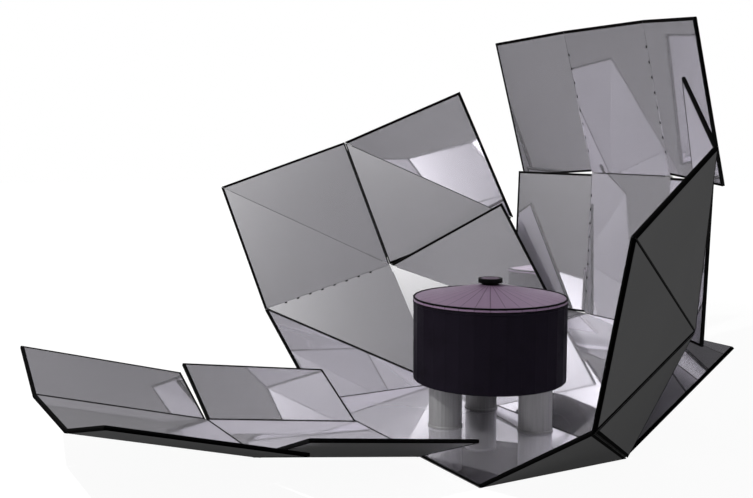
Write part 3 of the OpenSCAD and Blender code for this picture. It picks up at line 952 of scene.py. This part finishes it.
@dataclass
class CookingPot:
    """The black pan with its fan-folded lid and knob."""

    centre: tuple[float, float] = (0.0, 0.061)
    radius: float = 0.12
    wall: float = 0.0015
    base_z: float = 0.0722
    height: float = 0.123
    bottom_edge: float = 0.003
    sides: int = 32
    phase: float = 0.871
    rim_height: float = 0.006
    cone_rise: float = 0.02
    lid_wall: float = 0.0015
    neck: float = 0.014
    grip: float = 0.019
    neck_height: float = 0.003
    grip_height: float = 0.007
    gap: float = 0.0001

    def build(self, finishes: Finishes) -> None:
        """Builds the pan, its lid and its knob, which replace their CAD nodes."""
        self._add_pan(finishes.enamel)
        self._add_lid(finishes.lid)
        self._add_lid_beads(finishes.tape)
        self._add_knob(finishes)

    def _add_pan(self, material: Material) -> None:
        """Turns the pan's profile: base, rounded bottom edge, wall, rolled lip, inside."""
        r, z, w, e = self.radius, self.base_z, self.wall, self.bottom_edge
        top = z + self.height
        outer = arc((r - e, z + e), e, -90, 0, 6)
        inner = arc((r - e, z + e), e - w, 0, -90, 6)
        profile = np.concatenate(
            [
                [(0, z + 0.0006), (r * 0.72, z + 0.0006), (r * 0.74, z)], outer,
                [(r, top - 0.0034), (r + 0.0007, top - 0.0028)],
                [(r + 0.0007, top - 0.0006), (r, top)],
                [(r - w, top)], inner, [(0, z + w)],
            ]
        )
        piece = turned_shape("pan", profile, self.sides, self.centre, material, phase=self.phase)
        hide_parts("pot_body")
        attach(piece, "pot")

    def _add_lid(self, material: Material) -> None:
        """Turns the lid's profile: ring, upright rim and a cone of flat folds."""
        z = self.base_z + self.height + self.gap
        r, w = self.radius, self.lid_wall
        ring = r - self.wall - 0.0006
        cone, apex = z + self.rim_height, z + self.rim_height + self.cone_rise
        profile = np.array(
            [
                (0, apex - w), (self.neck, apex - w), (ring - w, cone - w), (ring - w, z - 0.005),
                (ring, z - 0.005), (ring, z), (r - 0.0003, z), (r, z + 0.0003), (r, cone - 0.0006),
                (r - 0.0006, cone), (self.neck, apex), (0, apex),
            ]
        )
        piece = turned_shape(
            "lid_fan", profile, self.sides, self.centre, material, phase=self.phase
        )
        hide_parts("pot_lid")
        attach(piece, "lid")

    def _add_lid_beads(self, material: Material) -> None:
        """Runs a black bead round the lid's edge and one where it meets the pan."""
        z = self.base_z + self.height + self.gap
        for name, radius, height, size in (
            ("lid_edge_bead", self.radius - 0.0010, z + self.rim_height, 0.0017),
            ("lid_seat_bead", self.radius - 0.0001, z + 0.0009, 0.0008),
        ):
            section = arc((radius, height), size, 0, 360, 10)[:-1]
            steps = np.arange(self.sides * 2)
            turn = (steps + 2 * self.phase) * math.pi / self.sides
            flat_side = np.where(steps % 2 == 1, math.cos(math.pi / self.sides), 1.0)
            points = carried_round(section, turn, self.centre, flat_side)
            faces = ring_faces(len(section) + 1, len(steps))
            faces = [tuple(i % len(points) for i in face) for face in faces]
            piece = add_piece(name, points, faces, material, True)
            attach(piece, "lid")

    def _add_knob(self, finishes: Finishes) -> None:
        """Turns the knob's waisted profile and sets a purple disc in its top."""
        z = self.base_z + self.height + self.gap + self.rim_height + self.cone_rise
        n, g, h = self.neck, self.grip, self.neck_height
        top = z + h + self.grip_height
        waist = arc((n + 0.0003, z + h / 2), h / 2 - 0.0001, 250, 110, 6)
        profile = np.concatenate(
            [
                [(0, z), (n, z)], waist, arc((g - 0.001, z + h + 0.001), 0.001, -90, 0, 3),
                arc((g - 0.001, top - 0.001), 0.001, 0, 90, 3),
                [(g - 0.0045, top), (g - 0.005, top - 0.0006), (0, top - 0.0006)],
            ]
        )
        piece = turned_shape("knob_grip", profile, 48, self.centre, finishes.knob, True)
        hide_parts("lid_knob")
        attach(piece, "lid")
        low, reach = top - 0.0008, g - 0.0052
        disc = [(0, low), (reach, low), (reach, top - 0.0002), (reach - 0.0004, top), (0, top)]
        cap = turned_shape("knob_disc", np.array(disc), 30, self.centre, finishes.lid)
        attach(cap, "lid")


@dataclass
class StandCans:
    """Three empty tins, standing on their open ends, that hold the pan off the floor."""

    places: tuple[tuple[str, float, float], ...] = (
        ("stand_can_front", -0.010, -0.014),
        ("stand_can_right", 0.078, 0.092),
        ("stand_can_left", -0.070, 0.095),
    )
    radius: float = 0.027
    height: float = 0.068
    base_z: float = 0.0041
    wall: float = 0.0008
    seam_height: float = 0.003
    seam_width: float = 0.0012
    sink: float = 0.0025
    sides: int = 26

    def build(self, finishes: Finishes) -> None:
        """Builds each can with a seam at either end, its wall set in between them, and a sunk end.
        """
        for name, x, y in self.places:
            piece = turned_shape(
                f"{name}_tin", self._profile(), self.sides, (x, y), finishes.tin, phase=0.5
            )
            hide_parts(name)
            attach(piece, name)

    def _profile(self) -> Points:
        """Returns the can's profile, from the middle of its end down the inside and up."""
        r, z = self.radius, self.base_z
        body = r - self.seam_width
        inner = body - self.wall
        top = z + self.height
        end = top - self.sink
        low, high, slope = z + self.seam_height, top - self.seam_height, self.seam_width
        return np.array(
            [
                (0, end - self.wall), (inner, end - self.wall), (inner, z), (r - 0.0003, z),
                (r, z + 0.0004), (r, low - 0.0003), (r - 0.0003, low), (body, low + slope),
                (body, high - slope), (r - 0.0003, high), (r, high + 0.0003), (r, top - 0.0004),
                (r - 0.0003, top), (inner + 0.0003, top), (inner, top - 0.0003), (inner, end),
                (0, end),
            ]
        )


def dress_cad_nodes(frame: dict, finishes: Finishes) -> None:
    """Gives each CAD node that stays its finish: boards, pins and the knob's screw."""
    for name, node in frame["nodes"].items():
        material = finishes.steel if "pin" in name or name == "knob_screw" else finishes.board
        if not node.material_slots:
            node.data.materials.append(material)
        for holder in node.material_slots:
            holder.material = material


@dataclass
class Studio:
    """A pale floor, a white surround, one small lamp and the photograph's camera."""

    camera_place: tuple[float, float, float] = (1.29656, -0.86342, 0.45057)
    heading: float = 60.907
    pitch: float = 6.276
    focal_px: float = 1025.3
    width_px: float = 753.0
    lamp_place: tuple[float, float, float] = (0.0, -1.04, 1.17)
    lamp_radius: float = 0.012
    lamp_intensity: float = 9.0
    ambient: float = 0.26
    room: float = 0.09
    floor_z: float = -0.0004
    floor_glow: float = 1.25
    floor_white: tuple[float, float] = (0.79, 0.06)
    sensor: float = 36.0

    def build(self) -> None:
        """Builds the whole stage."""
        scene = bpy.context.scene
        scene.view_settings.view_transform = "Standard"
        self._add_camera(scene)
        self._add_world(scene)
        self._add_lamp(scene)
        self._add_floor(scene)

    def _add_camera(self, scene: bpy.types.Scene) -> None:
        """Places the camera found from the photograph's corners."""
        camera = bpy.data.cameras.new("camera")
        camera.sensor_width = self.sensor
        camera.lens = self.focal_px / self.width_px * self.sensor
        camera.clip_end = 100.0
        made = bpy.data.objects.new("camera", camera)
        made.location = self.camera_place
        made.rotation_euler = (math.radians(90 - self.pitch), 0.0, math.radians(self.heading))
        scene.collection.objects.link(made)
        scene.camera = made

    def _add_world(self, scene: bpy.types.Scene) -> None:
        """White behind the oven, a plain level as light, and a dim room in the mirrors.

        The camera sees white. Mirrors see that white backdrop where it stands, straight
        behind the oven, and the dim room everywhere else.
        """
        world = bpy.data.worlds.new("surround")
        scene.world = world
        world.use_nodes = True
        sheet = NodeSheet(world.node_tree)
        way = sheet.node("ShaderNodeTexCoord", output="Generated")
        head = math.radians(90 + self.heading)
        aim = (math.cos(head), math.sin(head), 0.0)
        product = {"operation": "DOT_PRODUCT"}
        near_back = sheet.node("ShaderNodeVectorMath", product, (way, aim), "Value")
        room = near_back.step(0.9925, 0.997) * (1.0 - self.room) + self.room
        camera = sheet.node("ShaderNodeLightPath", output="Is Camera Ray")
        glossy = sheet.node("ShaderNodeLightPath", output="Is Glossy Ray")
        through = sheet.node("ShaderNodeLightPath", output="Is Transmission Ray")
        mirrored = glossy.math("MAXIMUM", through)
        plain = (1.0 - camera.math("MAXIMUM", mirrored)) * self.ambient
        strength = plain + camera + mirrored * (1.0 - camera) * room
        back = world.node_tree.nodes["Background"]
        sheet.feed(back.inputs["Color"], (1.0, 1.0, 1.0))
        sheet.feed(back.inputs["Strength"], strength)

    def _add_lamp(self, scene: bpy.types.Scene) -> None:
        """Adds the one lamp: a small bright bulb above the apron, out of the picture."""
        lamp = bpy.data.lights.new("lamp", "POINT")
        lamp.energy = self.lamp_intensity * 4 * math.pi
        lamp.shadow_soft_size = self.lamp_radius
        made = bpy.data.objects.new("lamp", lamp)
        made.location = self.lamp_place
        made.visible_camera = False
        scene.collection.objects.link(made)

    def _add_floor(self, scene: bpy.types.Scene) -> None:
        """Lays a pale floor that shows white and keeps the oven's shadow."""
        radius, rings, sides = 9.0, 10, 48
        turn = np.arange(sides) * math.tau / sides
        reach = np.linspace(0.0, 1.0, rings + 1)[1:] ** 2 * radius
        profile = np.stack([reach, np.full(rings, self.floor_z)], axis=-1)
        body = carried_round(profile, turn, (0.0, 0.0))
        points = np.concatenate([body, [[0, 0, self.floor_z]]])
        faces = [f[::-1] for f in ring_faces(rings, sides)]
        faces += [(rings * sides, i, (i + 1) % sides) for i in range(sides)]
        floor = add_piece("studio_floor", points, faces, self._floor_material())
        floor.visible_glossy = False

    def _floor_material(self) -> Material:
        """Returns a pale matte floor: white where lit, with a faint shadow.

        It is dim to every ray but the camera's, so it lights the oven's undersides little.
        The two numbers of floor_white are the glow's share that is added for the camera and
        the share that every ray sees.
        """
        floor = Surface("pale_floor", (0.8, 0.8, 0.8), 0.9)
        x, y = floor.place("X"), floor.place("Y")
        far = ((x * x + y * y) ** 0.5).step(1.2, 2.4)
        seen = floor.node("ShaderNodeLightPath", output="Is Camera Ray")
        floor.set("Base Color", floor.mix(seen, grey(0.2), grey(0.8)))
        values = {"Color": floor.mix(far, grey(0.95), grey(1.0)), "Strength": self.floor_glow}
        glow = floor.node("ShaderNodeEmission", {}, values)
        matte = Socket(floor, floor.shader.outputs[0])
        share = seen.math("MULTIPLY_ADD", *self.floor_white)
        blend = floor.node("ShaderNodeMixShader", {}, (share, matte, glow))
        floor.feed(floor.tree.nodes["Material Output"].inputs["Surface"], blend)
        return floor.material


def main() -> None:
    """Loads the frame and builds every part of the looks."""
    logging.basicConfig(level=logging.INFO, format="%(message)s")
    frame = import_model()
    finishes = Finishes()
    dress_cad_nodes(frame, finishes)
    FoldedSheet().dress(finishes)
    CookingPot().build(finishes)
    StandCans().build(finishes)
    Studio().build()


if __name__ == "__main__":
    main()
